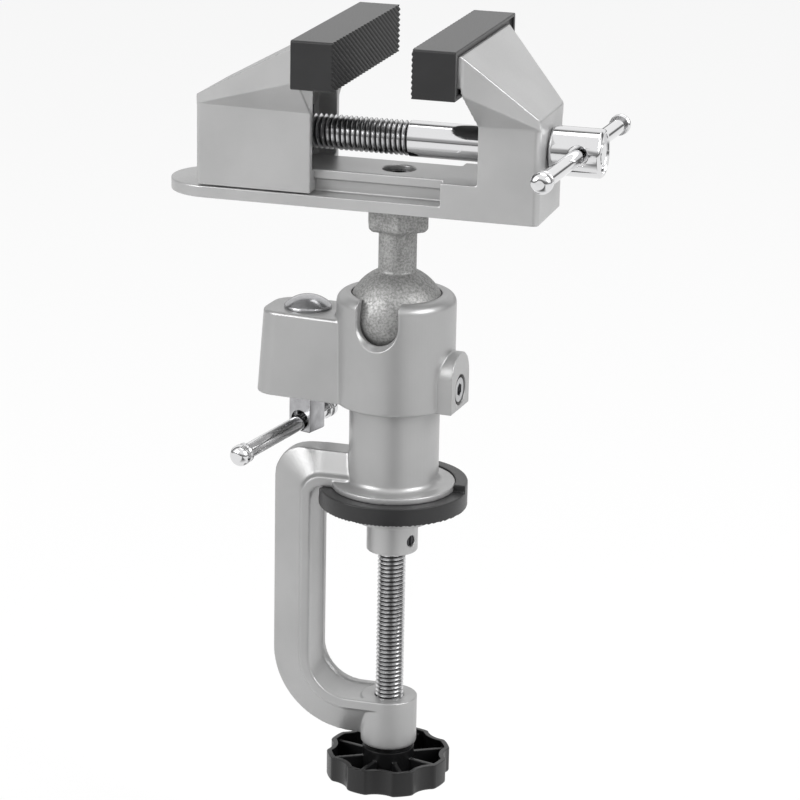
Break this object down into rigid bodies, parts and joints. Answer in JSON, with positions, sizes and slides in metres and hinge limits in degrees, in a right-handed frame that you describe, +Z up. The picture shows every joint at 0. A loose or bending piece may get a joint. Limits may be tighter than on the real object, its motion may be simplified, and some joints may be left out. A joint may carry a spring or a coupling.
{
  "type": "ball vise",
  "caption": "Jaw vise on a lockable ball joint and swivel over a screw table clamp, with padded jaws, cross-bar screw and lobed clamp knob.",
  "frame": {"origin": "centre of the table pad's underside, on the axis of the clamp screw and of the column", "axes": "+Z up along the column, -X towards the clamp frame's spine, -Y towards the notch of the swivel housing; the jaws open along X"},
  "size_m": [0.15, 0.1188, 0.2679],
  "materials": {
    "cast_paint": "satin silver paint",
    "plain_casting": "rough as cast",
    "chromed_steel": "polished",
    "plated_steel": "zinc plated",
    "dark_steel": "blackened",
    "black_rubber": "matt",
    "black_plastic": "satin"
  },
  "bodies": {
    "clamp": {"c_frame": "cast_paint", "table_pad": "black_rubber"},
    "clamp_foot": {"foot": "cast_paint", "foot_face": "black_rubber", "foot_set_screw": "dark_steel"},
    "spindle": {"clamp_screw": "chromed_steel", "knob": "black_plastic"},
    "housing": {"swivel_housing": "cast_paint", "swivel_screw": "dark_steel", "lock_bolt": "plated_steel", "lock_wedge": "plain_casting"},
    "lever_nut": {"lock_nut": "plated_steel"},
    "lever": {"lock_bar": "chromed_steel", "lock_bar_caps": "chromed_steel"},
    "ball": {"ball_stem": "plain_casting", "stem_screw": "dark_steel"},
    "vise": {"vise_body": "cast_paint", "fixed_jaw_cap": "black_rubber"},
    "slider": {"moving_jaw": "cast_paint", "moving_jaw_cap": "black_rubber", "jaw_nut": "plated_steel"},
    "jaw_drive": {"jaw_screw": "chromed_steel", "screw_clip": "dark_steel"},
    "handle": {"tommy_bar": "chromed_steel", "tommy_caps": "chromed_steel"}
  },
  "joints": [
    {"name": "foot_travel", "type": "slide", "parent": "clamp", "child": "clamp_foot", "axis": [0, 0, 1], "range_m": [-0.052, 0.0012]},
    {"name": "spindle_turn", "type": "hinge", "parent": "clamp_foot", "child": "spindle", "pos_m": [0, 0, -0.05], "axis": [0, 0, 1], "range_deg": [-12490, 295]},
    {"name": "head_swivel", "type": "hinge", "parent": "clamp", "child": "housing", "pos_m": [0, 0, 0.05], "axis": [0, 0, 1], "continuous": true},
    {"name": "lock_turn", "type": "hinge", "parent": "housing", "child": "lever_nut", "pos_m": [-0.03222, 0.00225, 0.03], "axis": [0, 0, 1], "range_deg": [-55, 45]},
    {"name": "lever_slide", "type": "slide", "parent": "lever_nut", "child": "lever", "axis": [0.2995, 0.9499, 0.0889], "range_m": [-0.0045, 0.03]},
    {"name": "ball_tilt", "type": "hinge", "parent": "housing", "child": "ball", "pos_m": [0, 0, 0.0677], "axis": [0.9976, -0.0698, 0], "range_deg": [-35, 90]},
    {"name": "head_spin", "type": "hinge", "parent": "ball", "child": "vise", "pos_m": [0, 0, 0.1063], "axis": [0, 0, 1], "continuous": true},
    {"name": "jaw_slide", "type": "slide", "parent": "vise", "child": "slider", "axis": [1, 0, 0], "range_m": [-0.024, 0.0257]},
    {"name": "jaw_screw_turn", "type": "hinge", "parent": "vise", "child": "jaw_drive", "pos_m": [0, 0, 0.1289], "axis": [1, 0, 0], "range_deg": [-5300, 4950]},
    {"name": "handle_slide", "type": "slide", "parent": "jaw_drive", "child": "handle", "axis": [0, 0.9992, -0.0401], "range_m": [-0.045, 0.045]}
  ],
  "couplings": [
    {"joint": "spindle_turn", "follows": "foot_travel", "rad_per_m": 4188.8},
    {"joint": "jaw_screw_turn", "follows": "jaw_slide", "rad_per_m": -3590.4}
  ]
}
